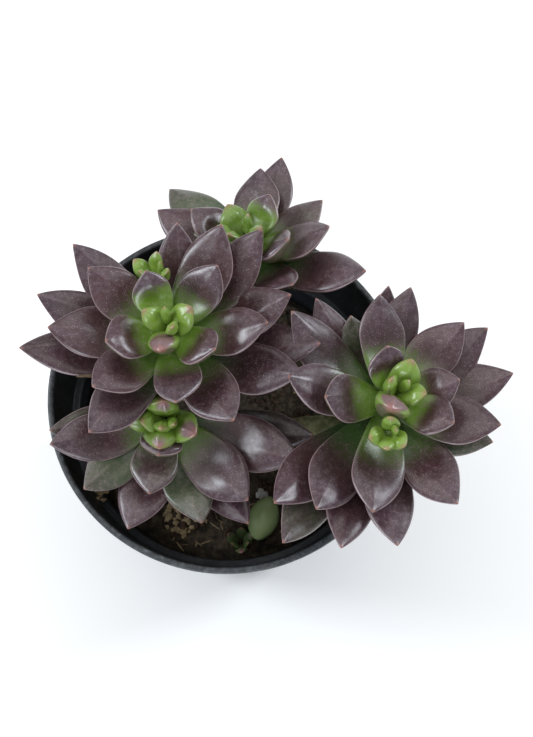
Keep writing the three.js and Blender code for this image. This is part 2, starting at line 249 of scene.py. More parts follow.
def leaf_points(leaf, rows, sides):
    """Rings of points from the leaf's foot to just before its tip, then the tip."""
    angle, blunt = leaf["angle"], leaf["blunt"]
    outward = np.array([math.cos(angle), math.sin(angle), 0])
    side = np.array([-math.sin(angle), math.cos(angle), 0])
    foot = outward * leaf["start"] + np.array([0, 0, leaf["base"]])
    tip = outward * leaf["reach"] + np.array([0, 0, leaf["rise"]])
    chord = tip - foot
    length = np.linalg.norm(chord)
    upward = np.cross(chord, side)
    upward /= np.linalg.norm(upward)
    middle = (foot + tip) / 2 - upward * 2 * leaf["bow"] * (1 - blunt) * length

    t = 1 - (1 - np.linspace(0, 1, rows + 1)[:-1]) ** ROW_CROWDING
    t = t[:, None, None]
    turn = (2 * np.pi * np.arange(sides) / sides)[None, :, None]
    centre = (1 - t) ** 2 * foot + 2 * t * (1 - t) * middle + t**2 * tip
    centre = centre + side * leaf["sweep"] * length * t**3 * (1 - 0.5 * t)
    along = 2 * (1 - t) * (middle - foot) + 2 * t * (tip - middle)
    along /= np.linalg.norm(along, axis=2, keepdims=True)
    up = np.cross(along, side)

    cosine, sine = np.cos(turn), np.sin(turn)
    height = np.abs(sine)
    lean = 1 + leaf["lopsided"] * np.sign(-cosine) * np.sin(np.pi * t) ** 1.5 * np.abs(cosine)
    ripple = np.sin(MARGIN_WAVES * t + WAVE_SHIFT * leaf["lopsided"])
    wave = 1 + MARGIN_WAVE * ripple * np.sign(cosine)
    half = leaf["width"] / 2 * outline(t, blunt) * lean * wave
    depth = leaf["width"] * THICKNESS * depth_share(t, blunt) * leaf["plump"]
    across = -half * np.sign(cosine) * np.abs(cosine) ** SIDE_POWER
    tipward = smooth(*TIPWARD, t)
    bulge = (UPPER_DOME + TIP_DOME * tipward) * (1 - BLUNT_DOME * blunt)
    dome = bulge * depth * height ** (DOME_POWER - TIP_DOME_POWER * tipward)
    keel = KEEL * depth * height ** (KEEL_POWER + TIP_KEEL_POWER * t)
    cup = leaf["cup"] * half * (1 - smooth(*CUP_FADES, t)) * smooth(*CUP_STARTS, t)
    lift = np.where(sine > 0, dome, -keel) + cup * (np.abs(cosine) ** CUP_POWER - CUP_MIDDLE)
    ridge = np.exp(-((cosine - CREASE_PLACE) / CREASE_SPREAD) ** 2)
    crease_line = (CREASE + BLUNT_CREASE * blunt) * leaf["width"] * tipward * ridge
    lift = lift + np.where(sine > 0, crease_line * (1 - t**6), 0)
    roll = leaf["twist"] * t
    points = (
        centre
        + side * (across * np.cos(roll) - lift * np.sin(roll))
        + up * (lift * np.cos(roll) + across * np.sin(roll))
    )
    shape = points.shape[:2] + (1,)
    facts = {
        "along": np.broadcast_to(t, shape),
        "edge": np.broadcast_to(np.abs(cosine), shape),
        "upper": np.broadcast_to(smooth(-0.25, 0.25, sine), shape),
        "across": np.broadcast_to(cosine, shape),
    }
    flat = np.vstack([points.reshape(-1, 3), tip + side * leaf["sweep"] * length * 0.5])
    ends = {"along": 1.0, "edge": 0.6, "upper": 0.5, "across": 0.0}
    facts = {key: np.append(value.reshape(-1), ends[key]) for key, value in facts.items()}
    return flat, facts


def ring_faces(rows, sides, first=0):
    """Faces of a skin through rings, closed by a flat cap at the start and a point at the end."""
    ring = np.arange(sides)
    after = (ring + 1) % sides
    faces = []
    for row in range(rows - 1):
        a, b = first + row * sides, first + (row + 1) * sides
        faces += np.stack([a + ring, b + ring, b + after, a + after], axis=1).tolist()
    last = first + (rows - 1) * sides
    faces += np.stack([last + ring, np.full(sides, last + sides), last + after], axis=1).tolist()
    faces.append((first + ring).tolist())
    return faces


def new_object(name, points, faces, material, facts=None, shade=True):
    mesh = bpy.data.meshes.new(name)
    mesh.from_pydata(np.asarray(points).tolist(), [], faces)
    for key, values in (facts or {}).items():
        attribute = mesh.attributes.new(key, "FLOAT", "POINT")
        attribute.data.foreach_set("value", np.asarray(values, np.float32))
    mesh.update()
    if shade:
        mesh.shade_smooth()
    obj = bpy.data.objects.new(name, mesh)
    bpy.context.scene.collection.objects.link(obj)
    mesh.materials.append(material)
    return obj


def settled(obj, slot, *nodes):
    """The piece rides on the part's only body and stands for CAD nodes; the slot is not used."""
    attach(obj, "root")
    if nodes:
        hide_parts(*nodes)
    return obj


def blades(name, rosette, leaves, material, rows=36, sides=40):
    """One object with a skin for each leaf. Each leaf is a dict of measures and looks."""
    points, faces, facts = [], [], {}
    for leaf in leaves:
        first = sum(len(block) for block in points)
        local, own = leaf_points(leaf, rows, sides)
        points.append(rosette.world(local))
        faces += ring_faces(rows, sides, first)
        for key in ("age", "grey", "tone", "flush", "blunt"):
            own[key] = np.full(len(local), leaf[key])
        for key, values in own.items():
            facts.setdefault(key, []).append(values)
    facts = {key: np.concatenate(values) for key, values in facts.items()}
    return new_object(name, np.vstack(points), faces, material, facts)


def dressed(leaf, age, **looks):
    """Adds a leaf's looks and its own small irregularities to its measures."""
    leaf.update(
        age=age, grey=0.0, plump=1.2, blunt=0.0, cup=0.36, bow=BOW, flush=0.4 - 0.14 * age,
        tone=RNG.uniform(-1, 1), lopsided=RNG.uniform(-0.14, 0.14),
        twist=RNG.uniform(-0.12, 0.12), sweep=RNG.uniform(-0.05, 0.05),
    )
    leaf.update(looks)
    return leaf


def bud_leaves(rows, age=-0.4, grey=0.0):
    """The fat leaves round the growing point, from their table."""
    leaves = []
    for azimuth, reach, rise, width, flush in rows:
        leaf = leaf_measures(azimuth, reach, rise, width, 0)
        leaf["base"] = -(BUD_DEPTH + BUD_DEPTH_SLOPE * reach) * MM
        leaf["start"] = BUD_START
        leaves.append(dressed(
            leaf, age, grey=grey, plump=2.0, blunt=1.0, cup=0.0, flush=flush,
            sweep=0.0, twist=RNG.uniform(-0.3, 0.3),
        ))
    return leaves


# ---- the pot's sizes ----------------------------------------------------------------------

POT_LOW, POT_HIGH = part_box("pot")
RIM_RADIUS = (POT_HIGH.x - POT_LOW.x) / 2
RIM_HEIGHT = POT_HIGH.z
COLLAR_HEIGHT = 18 * MM
LEDGE_HEIGHT = RIM_HEIGHT - COLLAR_HEIGHT
BASE_RADIUS = 31 * MM
LEDGE_RADIUS = 38.6 * MM
COLLAR_FOOT_RADIUS = 41.8 * MM
WALL = 1.2 * MM
FLOOR = 1.6 * MM
LIP_OVERHANG, LIP_FOOT, LIP_DEPTH, LIP_WIDTH = 1.2 * MM, 1.9 * MM, 1.7 * MM, 1.5 * MM
# Heights against the ledge: the wall's top and the collar's foot outside, then both inside.
WALL_TOP, COLLAR_FOOT, COLLAR_INSIDE, LEDGE_TOP = 1 * MM, 0.1 * MM, 1.2 * MM, 0.6 * MM
CORNER_RADIUS = 0.6 * MM
CORNER_SHARE = 0.45  # the most a rounded corner takes of the sides beside it
POT_SEGMENTS = 192
DRAIN_COUNT, DRAIN_SIZE = 6, (7 * MM, 8 * MM, 4 * MM)
DRAIN_INSET, DRAIN_MIDDLE = 1.5 * MM, 1 * MM


# ---- node materials -----------------------------------------------------------------------

class Nodes:
    """Short calls for building a material's node tree."""

    def __init__(self, name):
        self.material = bpy.data.materials.new(name)
        self.material.use_nodes = True
        self.tree = self.material.node_tree
        self.shader = self.tree.nodes["Principled BSDF"]

    def link(self, source, target):
        self.tree.links.new(source, target)

    def put(self, socket, value):
        if isinstance(value, bpy.types.NodeSocket):
            self.link(value, socket)
        else:
            socket.default_value = value

    def attribute(self, name):
        node = self.tree.nodes.new("ShaderNodeAttribute")
        node.attribute_name = name
        return node.outputs["Fac"]

    def math(self, operation, a, b=0.0, clamp=False):
        node = self.tree.nodes.new("ShaderNodeMath")
        node.operation = operation
        node.use_clamp = clamp
        self.put(node.inputs[0], a)
        self.put(node.inputs[1], b)
        return node.outputs[0]

    def span(self, value, low, high, to_low=0.0, to_high=1.0):
        """value mapped smoothly from low..high to to_low..to_high."""
        node = self.tree.nodes.new("ShaderNodeMapRange")
        node.interpolation_type = "SMOOTHSTEP"
        for index, item in enumerate((value, low, high, to_low, to_high)):
            self.put(node.inputs[index], item)
        return node.outputs[0]

    def mix(self, share, a, b):
        node = self.tree.nodes.new("ShaderNodeMix")
        node.data_type = "RGBA"
        self.put(node.inputs[0], share)
        self.put(node.inputs[6], a)
        self.put(node.inputs[7], b)
        return node.outputs[2]

    def position(self):
        return self.tree.nodes.new("ShaderNodeTexCoord").outputs["Object"]

    def height(self):
        node = self.tree.nodes.new("ShaderNodeSeparateXYZ")
        self.link(self.position(), node.inputs[0])
        return node.outputs["Z"]

    def noise(self, scale, detail=3.0, roughness=0.55, stretch=None):
        node = self.tree.nodes.new("ShaderNodeTexNoise")
        node.inputs["Scale"].default_value = scale
        node.inputs["Detail"].default_value = detail
        node.inputs["Roughness"].default_value = roughness
        place = self.position()
        if stretch:
            mapping = self.tree.nodes.new("ShaderNodeMapping")
            mapping.inputs["Scale"].default_value = stretch
            self.link(place, mapping.inputs["Vector"])
            place = mapping.outputs[0]
        self.link(place, node.inputs["Vector"])
        return node.outputs["Fac"]

    def spots(self, scale, radius, soft):
        """1 inside small round spots scattered at random, 0 outside."""
        node = self.tree.nodes.new("ShaderNodeTexVoronoi")
        node.inputs["Scale"].default_value = scale
        self.link(self.position(), node.inputs["Vector"])
        return self.span(node.outputs["Distance"], radius + soft, radius)

    def bump(self, height, strength, distance, below=None):
        node = self.tree.nodes.new("ShaderNodeBump")
        node.inputs["Strength"].default_value = strength
        node.inputs["Distance"].default_value = distance
        self.put(node.inputs["Height"], height)
        if below is not None:
            self.link(below, node.inputs["Normal"])
        return node.outputs["Normal"]

    def finish(self, colour, roughness, normal=None, **plain):
        self.put(self.shader.inputs["Base Color"], colour)
        self.put(self.shader.inputs["Roughness"], roughness)
        if normal is not None:
            self.link(normal, self.shader.inputs["Normal"])
        for key, value in plain.items():
            self.shader.inputs[key.replace("_", " ")].default_value = value
        return self.material


def rgb(red, green, blue):
    return (red, green, blue, 1.0)


# The leaves' colours, in linear light.
PURPLE_DARK = rgb(0.028, 0.011, 0.014)
PURPLE_LIGHT = rgb(0.052, 0.022, 0.030)
PURPLE_RED = rgb(0.066, 0.021, 0.023)
PURPLE_MOTTLE = rgb(0.095, 0.055, 0.062)
BUD_BLUSH = rgb(0.2, 0.115, 0.11)
# wax bloom and painted sheen, laid on the outer part of the leaves where highlights fall
TIP_BLOOM_AND_SHEEN = rgb(0.12, 0.085, 0.122)
YOUNG_GREEN = rgb(0.165, 0.28, 0.03)
LEAF_GREEN = rgb(0.1, 0.19, 0.016)
GREEN_MOTTLE = rgb(0.21, 0.3, 0.085)
# the fallen leaf's own pale green, lifted further as painted light against the shade it lies in
FALLEN_GREEN_LIGHTENED = rgb(0.34, 0.46, 0.2)
# older leaves' darker green: partly their own colour, partly painted shade on their bases, which lie
# under younger leaves
OLD_GREEN_AND_SHADE = rgb(0.03, 0.07, 0.016)
UNDERSIDE = rgb(0.085, 0.05, 0.055)
WEATHERED_GREEN = rgb(0.055, 0.09, 0.042)
WEATHERED_TAN = rgb(0.115, 0.12, 0.08)
WAX_SPECK = rgb(0.36, 0.28, 0.27)
# painted rim light along the leaf margins
RIM_LIGHT_MARGIN = rgb(0.33, 0.23, 0.25)
# painted highlight along the ridge towards the tip
CREASE_HIGHLIGHT = rgb(0.25, 0.15, 0.17)
LEAF_POINT = rgb(0.27, 0.115, 0.09)
BUD_POINT = rgb(0.33, 0.12, 0.1)

# The pot's.
PLASTIC_DARK = rgb(0.009, 0.011, 0.014)
PLASTIC_LIGHT = rgb(0.02, 0.024, 0.029)
DUST = rgb(0.2, 0.17, 0.13)
# a paler bluish band round the inner ledge
PALE_LEDGE_BAND = rgb(0.045, 0.05, 0.055)
# painted highlight along the top of the lip
LIP_HIGHLIGHT = rgb(0.15, 0.165, 0.18)
PALE_LEDGE_BAND_REACH = 1.2 * MM  # how far above and below the ledge its pale band reaches

# The soil's.
SOIL_DARK = rgb(0.022, 0.017, 0.012)
SOIL_LIGHT = rgb(0.125, 0.095, 0.062)
SOIL_FIBRE = rgb(0.19, 0.12, 0.065)

# The stems'.
BARK_DARK = rgb(0.09, 0.07, 0.035)
BARK_LIGHT = rgb(0.24, 0.2, 0.12)
STEM_GREEN_DARK = rgb(0.09, 0.14, 0.04)
STEM_GREEN_LIGHT = rgb(0.2, 0.25, 0.1)


def leaf_material():
    """Green flesh under a purple flush, which spreads from the tip as a leaf ages."""
    n = Nodes("leaf_skin")
    along, edge, upper = n.attribute("along"), n.attribute("edge"), n.attribute("upper")
    age, grey, tone = n.attribute("age"), n.attribute("grey"), n.attribute("tone")
    flush, blunt, across = n.attribute("flush"), n.attribute("blunt"), n.attribute("across")
    broad = n.noise(170, 3)
    mottle = n.noise(900, 4, 0.65)
    fine = n.noise(3200, 2)

    purple = n.mix(n.span(broad, 0.32, 0.7), PURPLE_DARK, PURPLE_LIGHT)
    purple = n.mix(n.span(tone, -1.0, 1.0, 0.0, 0.45), purple, PURPLE_RED)
    purple = n.mix(n.span(mottle, 0.35, 0.68, 0.0, 0.27), purple, PURPLE_MOTTLE)
    purple = n.mix(n.math("MULTIPLY", blunt, 0.8), purple, BUD_BLUSH)
    # Wax bloom and painted sheen: the outer part of each leaf turns a lighter lavender in patches,
    # like a broad highlight.
    bloom_and_sheen = n.math("MULTIPLY", n.span(along, 0.55, 0.9), n.span(mottle, 0.3, 0.7, 0.0, 0.4))
    purple = n.mix(bloom_and_sheen, purple, TIP_BLOOM_AND_SHEEN)
    bright = n.mix(n.span(age, -0.5, 0.3), YOUNG_GREEN, LEAF_GREEN)
    bright = n.mix(n.span(mottle, 0.4, 0.75, 0.0, 0.6), bright, GREEN_MOTTLE)
    # Painted light: leaves with an age below -0.6, that is the fallen leaf, take a paler green that
    # makes up for the shade it lies in.
    bright = n.mix(n.span(age, -0.6, -1.0), bright, FALLEN_GREEN_LIGHTENED)
    # Older leaves turn a darker green: partly their own colour, partly painted shade on bases that lie
    # under younger leaves.
    green = n.mix(n.span(age, 0.15, 0.9), bright, OLD_GREEN_AND_SHADE)
    wander = n.math("MULTIPLY", n.math("SUBTRACT", mottle, 0.5), 0.3)
    rim = n.math("MULTIPLY", n.math("POWER", edge, 4.0), n.math("MULTIPLY", blunt, -0.55))
    place = n.math("ADD", n.math("ADD", along, wander), rim)
    late = n.math("ADD", flush, n.span(age, -0.5, 0.8, 0.16, 0.26))
    blush = n.span(place, n.math("SUBTRACT", flush, 0.1), late)
    skin = n.mix(blush, green, purple)
    under = n.mix(n.math("MULTIPLY", blush, 0.8), green, UNDERSIDE)
    skin = n.mix(upper, under, skin)

    weathered = n.mix(n.span(mottle, 0.35, 0.7), WEATHERED_GREEN, WEATHERED_TAN)
    patch = n.span(n.math("ADD", grey, n.math("SUBTRACT", broad, 0.5)), 0.25, 0.85)
    skin = n.mix(n.math("MULTIPLY", patch, n.span(along, 1.1, 0.5, 0.35, 0.95)), skin, weathered)

    wax = n.math("MULTIPLY", n.spots(3000, 0.17, 0.14), n.span(mottle, 0.42, 0.62, 0.15, 0.75))
    skin = n.mix(wax, skin, WAX_SPECK)
    # Painted rim light: a pale line along the margins, for light glancing off and shining through the
    # thin edges.
    rim_light_line = n.math("MULTIPLY", n.span(edge, 0.955, 0.99), n.span(along, 0.25, 0.6, 0.1, 0.7))
    rim_light_line = n.math("MULTIPLY", rim_light_line, n.span(blunt, 0, 1, 1.0, 0.25))
    skin = n.mix(rim_light_line, skin, RIM_LIGHT_MARGIN)
    # Painted highlight: a pale line on the upper face along the ridge near the tip.
    crease_highlight = n.span(n.math("ABSOLUTE", n.math("SUBTRACT", across, 0.12)), 0.09, 0.0)
    crease_highlight = n.math("MULTIPLY", crease_highlight, n.math("MULTIPLY", upper, n.span(along, 0.65, 0.9, 0.0, 0.14)))
    skin = n.mix(crease_highlight, skin, CREASE_HIGHLIGHT)
    point = n.math("MULTIPLY", n.span(along, 0.97, 0.998), 0.75)
    point = n.math("MULTIPLY", point, n.span(blunt, 0, 1, 1.0, 0.0))
    skin = n.mix(point, skin, LEAF_POINT)
    spot = n.math("MULTIPLY", n.span(n.math("ADD", along, wander), 0.84, 0.97), blunt)
    skin = n.mix(n.math("MULTIPLY", spot, 0.5), skin, BUD_POINT)

    roughness = n.span(mottle, 0.3, 0.75, 0.28, 0.42)
    pores = n.bump(fine, 0.3, 0.05 * MM)
    normal = n.bump(broad, 0.35, 0.4 * MM, pores)
    return n.finish(
        skin, roughness, normal,
        Subsurface_Weight=0.06, Subsurface_Radius=(0.9, 0.7, 0.3), Subsurface_Scale=1.0 * MM,
        Coat_Weight=0.5, Coat_Roughness=0.3, IOR=1.5,
    )


def pot_material():
    """Black plastic with pale dust specks, a paler band round the inner ledge and a painted highlight,
    in patches, along the lip.
    """
    n = Nodes("black_plastic")
    haze = n.noise(90, 4)
    scratch = n.noise(260, 5, 0.7, stretch=(1, 1, 0.15))
    blotches = n.noise(800, 5, 0.7)
    height = n.height()
    dust = n.math("MULTIPLY", n.spots(520, 0.1, 0.12), n.span(haze, 0.45, 0.65))
    colour = n.mix(n.span(haze, 0.3, 0.75), PLASTIC_DARK, PLASTIC_LIGHT)
    colour = n.mix(n.math("MULTIPLY", dust, 0.4), colour, DUST)
    # A paler bluish band round the inner ledge, in patches.
    off_ledge = n.math("ABSOLUTE", n.math("SUBTRACT", height, LEDGE_HEIGHT + LEDGE_TOP))
    ledge = n.span(off_ledge, PALE_LEDGE_BAND_REACH, 0)
    ledge = n.math("MULTIPLY", ledge, n.span(blotches, 0.3, 0.7, 0.25, 0.8))
    colour = n.mix(ledge, colour, PALE_LEDGE_BAND)
    # Painted highlight: a bluish-grey line along the top of the lip, broken into patches.
    lip_highlight = n.math("MULTIPLY", n.span(height, RIM_HEIGHT - 0.9 * MM, RIM_HEIGHT - 0.2 * MM),
                  n.span(blotches, 0.42, 0.78, 0.05, 0.6))
    colour = n.mix(lip_highlight, colour, LIP_HIGHLIGHT)
    roughness = n.span(scratch, 0.3, 0.7, 0.34, 0.55)
    grain = n.bump(n.noise(2400, 2), 0.18, 0.05 * MM)
    return n.finish(colour, roughness, n.bump(scratch, 0.12, 0.1 * MM, grain), IOR=1.5)


def soil_material():
    n = Nodes("potting_soil")
    clod = n.noise(420, 6, 0.7)
    fibre = n.noise(1500, 4, 0.7, stretch=(1, 0.35, 1))
    colour = n.mix(n.span(clod, 0.35, 0.7), SOIL_DARK, SOIL_LIGHT)
    colour = n.mix(n.math("MULTIPLY", n.span(fibre, 0.62, 0.75), 0.6), colour, SOIL_FIBRE)
    normal = n.bump(clod, 0.8, 0.8 * MM, n.bump(fibre, 0.7, 0.3 * MM))
    return n.finish(colour, 0.95, normal)


def crumb_material(name, dark, light, roughness=0.9):
    n = Nodes(name)
    grain = n.noise(1400, 5, 0.65)
    tone = n.attribute("tone")
    colour = n.mix(n.span(grain, 0.3, 0.72), dark, light)
    colour = n.mix(n.span(tone, -1, 1, 0.0, 0.45), colour, dark)
    return n.finish(colour, roughness, n.bump(grain, 0.6, 0.25 * MM))


def stem_material():
    n = Nodes("stem_skin")
    bark = n.noise(700, 5, 0.65, stretch=(1, 1, 0.3))
    along = n.attribute("along")
    woody = n.mix(n.span(bark, 0.35, 0.7), BARK_DARK, BARK_LIGHT)
    green = n.mix(n.span(bark, 0.35, 0.7), STEM_GREEN_DARK, STEM_GREEN_LIGHT)
    colour = n.mix(n.span(along, 0.15, 0.75), woody, green)
    return n.finish(colour, n.span(bark, 0.3, 0.7, 0.5, 0.75), n.bump(bark, 0.6, 0.4 * MM))


LEAF_SKIN = leaf_material()
BLACK_PLASTIC = pot_material()
POTTING_SOIL = soil_material()
STEM_SKIN = stem_material()
DRY_SKIN = crumb_material("withered_leaf", rgb(0.12, 0.075, 0.045), rgb(0.36, 0.26, 0.18))


# ---- the plant ----------------------------------------------------------------------------

# How weathered the oldest leaves are, where 0 is not at all.
WEATHERED = {
    "leaf_d_01": 0.45, "leaf_d_05": 0.9, "leaf_d_06": 0.85, "leaf_d_07": 0.2, "leaf_c_07": 0.95,
    "leaf_c_03": 0.4,
}

# What sets a rosette's innermost leaf apart.
INNERMOST = {"a": {"flush": 0.58}, "b": {"sweep": -0.14}, "c": {"flush": 0.66}}
OVER_THE_RIM = {"leaf_c_07": -0.02}  # a leaf held up by the rim, and its bow
LIT_THROUGH = {"d": -0.12}  # where the purple begins, against the other rosettes


# Stems: the foot lies nearer the pot's axis than the place where the stem leaves the soil, by
# this share, and the last depths below the heart's top, in millimetres, are on the rosette's axis.
STEM_FOOT_SHARE = 0.9
STEM_LEAVES_SOIL = 58 * MM
STEM_ON_AXIS = (24, 16, 9)
STEM_TAPER, STEM_FLUTES, SCAR_RELIEF, SCAR_TURNS = 0.12, 0.06, 0.35, 70


def build_rosette(letter, plan):
    heart, stem = f"heart_{letter}", f"stem_{letter}"
    rosette = RosetteFrame(plan["heart"], plan["lean"], plan["toward"])
    count = plan["leaves"]
    for order in range(count):
        node = f"leaf_{letter}_{order + 1:02d}"
        age = 0.3 + 0.7 * order / (count - 1)
        leaf = dressed(measured_leaf(rosette, node, order), age, grey=WEATHERED.get(node, 0.0))
        leaf["flush"] += LIT_THROUGH.get(letter, 0)
        leaf["bow"] = OVER_THE_RIM.get(node, BOW)
        settled(blades(node + "_skin", rosette, [leaf], LEAF_SKIN), "leaf", node)
    inner = [
        dressed(leaf_measures(*row, order - 3), 0.05 + 0.1 * order, plump=1.45)
        for order, row in enumerate(plan["inner"])
    ]
    inner[0].update(INNERMOST.get(letter, {}))
    buds = bud_leaves(HEARTS[letter], BUD_AGES[letter])
    settled(blades(heart + "_skin", rosette, inner + buds, LEAF_SKIN), "young_leaf", heart)
    lower = [
        dressed(leaf_measures(*row[:4], count + order), 1.0, grey=row[4])
        for order, row in enumerate(plan["lower"])
    ]
    settled(blades(stem + "_old_leaves", rosette, lower, LEAF_SKIN), "leaf", stem)
    build_stem(stem, rosette)


def build_stem(node, rosette, rows=90, sides=24):
    """A tube from the soil to the heart, with the scars of fallen leaves around it."""
    points = node_points(node)
    foot = points[points[:, 2] < points[:, 2].min() + 0.5 * MM].mean(axis=0)
    soil_level = np.array([foot[0] / STEM_FOOT_SHARE, foot[1] / STEM_FOOT_SHARE, STEM_LEAVES_SOIL])
    knots = [foot, soil_level]
    knots += [rosette.world(np.array([0, 0, -height * MM])) for height in STEM_ON_AXIS]
    knots = np.array(knots)
    chords = np.concatenate([[0], np.cumsum(np.linalg.norm(np.diff(knots, axis=0), axis=1) ** 0.5)])
    at = np.linspace(0, chords[-1], rows)
    centre = np.stack([catmull(chords, knots[:, k], at) for k in range(3)], axis=1)
    along = np.gradient(centre, axis=0)
    along /= np.linalg.norm(along, axis=1, keepdims=True)
    side = np.cross(along, [0, 1.0, 0])
    side /= np.linalg.norm(side, axis=1, keepdims=True)
    other = np.cross(along, side)
    turn = 2 * np.pi * np.arange(sides) / sides
    share = np.linspace(0, 1, rows)[:, None]
    scars = 0.2 * np.maximum(0, np.sin(SCAR_TURNS * share + 2 * turn[None, :])) ** 3
    flutes = STEM_FLUTES * np.sin(3 * turn)[None, :]
    radius = STEM_RADIUS * (1.0 - STEM_TAPER * share + SCAR_RELIEF * scars - flutes)
    skin = centre[:, None] + radius[..., None] * (
        side[:, None] * np.cos(turn)[None, :, None] + other[:, None] * np.sin(turn)[None, :, None]
    )
    flat = np.vstack([skin.reshape(-1, 3), centre[-1] + along[-1] * 0.2 * MM])
    facts = {"along": np.append(np.repeat(share[:, 0], sides), 1.0)}
    tube = new_object(node + "_skin", flat, ring_faces(rows, sides), STEM_SKIN, facts)
    settled(tube, "stem_skin", node)


def catmull(knots, values, at):
    """A smooth curve through the knots, with slopes from each knot's neighbours."""
    slopes = np.gradient(values, knots)
    index = np.clip(np.searchsorted(knots, at, side="right") - 1, 0, len(knots) - 2)
    step = knots[index + 1] - knots[index]
    u = (at - knots[index]) / step
    start, end = values[index], values[index + 1]
    return (
        (2 * u**3 - 3 * u**2 + 1) * start
        + (u**3 - 2 * u**2 + u) * step * slopes[index]
        + (3 * u**2 - 2 * u**3) * end
        + (u**3 - u**2) * step * slopes[index + 1]
    )


def build_offset(node, plan):
    """A small whole rosette that is still closed."""
    rosette = RosetteFrame(plan["heart"], plan["lean"], plan["toward"])
    dried = node == "small_offset"
    leaves = bud_leaves(plan["leaves"], 0.5 if dried else -0.5, 0.6 if dried else 0.0)
    settled(blades(node + "_skin", rosette, leaves, LEAF_SKIN), "young_leaf", node)


# ---- pot ----------------------------------------------------------------------------------

def wall_radius(height):
    return BASE_RADIUS + (LEDGE_RADIUS + WALL - BASE_RADIUS) * height / LEDGE_HEIGHT


def rounded(profile, radius, steps=4):
    """The profile with each inner corner rounded off by a short curve."""
    out = [profile[0]]
    for before, corner, after in zip(profile, profile[1:], profile[2:]):
        before, corner, after = map(np.array, (before, corner, after))
        shorter = min(np.linalg.norm(corner - before), np.linalg.norm(after - corner))
        reach = min(radius, CORNER_SHARE * shorter)
        start = corner + (before - corner) / np.linalg.norm(before - corner) * reach
        end = corner + (after - corner) / np.linalg.norm(after - corner) * reach
        for u in np.linspace(0, 1, steps):
            out.append(tuple((1 - u) ** 2 * start + 2 * u * (1 - u) * corner + u**2 * end))
    return out + [profile[-1]]


def turned(name, profile, material, segments):
    """A surface of revolution whose profile starts and ends on the axis."""
    middle = profile[1:-1]
    turn = 2 * np.pi * np.arange(segments) / segments
    rings = [[(r * math.cos(a), r * math.sin(a), z) for a in turn] for r, z in middle]
    points = [point for ring in rings for point in ring]
    points += [(0, 0, profile[0][1]), (0, 0, profile[-1][1])]
    bottom, top = len(points) - 2, len(points) - 1
    faces = []
    for row in range(len(middle) - 1):
        for k in range(segments):
            a, b = row * segments + k, row * segments + (k + 1) % segments
            faces.append((a, b, b + segments, a + segments))
    last = (len(middle) - 1) * segments
    for k in range(segments):
        after = (k + 1) % segments
        faces.append((bottom, after, k))
        faces.append((top, last + k, last + after))
    return new_object(name, points, faces, material)


def cut_by(obj, cutters):
    for cutter in cutters:
        modifier = obj.modifiers.new("cut", "BOOLEAN")
        modifier.object = cutter
        modifier.solver = "EXACT"
    depsgraph = bpy.context.evaluated_depsgraph_get()
    result = bpy.data.meshes.new_from_object(obj.evaluated_get(depsgraph))
    obj.modifiers.clear()
    obj.data = result
    for cutter in cutters:
        bpy.data.objects.remove(cutter)
    return obj


def build_pot():
    profile = [
        (0, 0),
        (BASE_RADIUS, 0),
        (wall_radius(LEDGE_HEIGHT - WALL_TOP), LEDGE_HEIGHT - WALL_TOP),
        (COLLAR_FOOT_RADIUS, LEDGE_HEIGHT - COLLAR_FOOT),
        (RIM_RADIUS - LIP_OVERHANG, RIM_HEIGHT - LIP_FOOT),
        (RIM_RADIUS, RIM_HEIGHT - LIP_DEPTH),
        (RIM_RADIUS, RIM_HEIGHT),
        (RIM_RADIUS - LIP_WIDTH, RIM_HEIGHT),
        (COLLAR_FOOT_RADIUS - WALL, LEDGE_HEIGHT + COLLAR_INSIDE),
        (LEDGE_RADIUS, LEDGE_HEIGHT + LEDGE_TOP),
        (wall_radius(FLOOR) - WALL, FLOOR),
        (0, FLOOR),
    ]
    pot = turned("pot_shell", rounded(profile, CORNER_RADIUS), BLACK_PLASTIC, POT_SEGMENTS)
    cutters = []
    for hole in range(DRAIN_COUNT):
        bpy.ops.mesh.primitive_cube_add(size=1)
        cutter = bpy.context.object
        cutter.scale = DRAIN_SIZE
        angle = hole * math.pi / (DRAIN_COUNT / 2)
        reach = BASE_RADIUS - DRAIN_INSET
        cutter.location = (reach * math.cos(angle), reach * math.sin(angle), DRAIN_MIDDLE)
        cutter.rotation_euler = (0, 0, angle)
        cutters.append(cutter)
    bpy.context.view_layer.update()
    cut_by(pot, cutters)
    pot.data.set_sharp_from_angle(angle=math.radians(40))
    settled(pot, "pot_plastic", "pot")


# ---- soil ---------------------------------------------------------------------------------

SOIL_LOW, SOIL_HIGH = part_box("soil")
SOIL_EDGE = 51.5 * MM
SOIL_SHOULDER = 55.5 * MM
SOIL_GAP = 0.3 * MM  # to the wall and the floor
SOIL_RADIUS = wall_radius(SOIL_EDGE) - WALL - SOIL_GAP
LEVEL_OUT_TO, SHOULDER_AT = 0.5, 0.93  # of the radius
CLOD_SCALE, CLOD_HEIGHT, CLOD_SINK = 160, 1.0 * MM, 1.2 * MM


def soil_height(x, y):
    """The soil's top: level in the middle, falling away to the wall, with clods."""
    share = math.hypot(x, y) / SOIL_RADIUS
    heights = [SOIL_HIGH.z, SOIL_HIGH.z, SOIL_SHOULDER, SOIL_EDGE]
    level = np.interp(share, [0, LEVEL_OUT_TO, SHOULDER_AT, 1.0], heights)
    lumps = noise.fractal(Vector((x, y, 0)) * CLOD_SCALE, 0.9, 2.1, 5)
    return level - CLOD_SINK + CLOD_HEIGHT * lumps


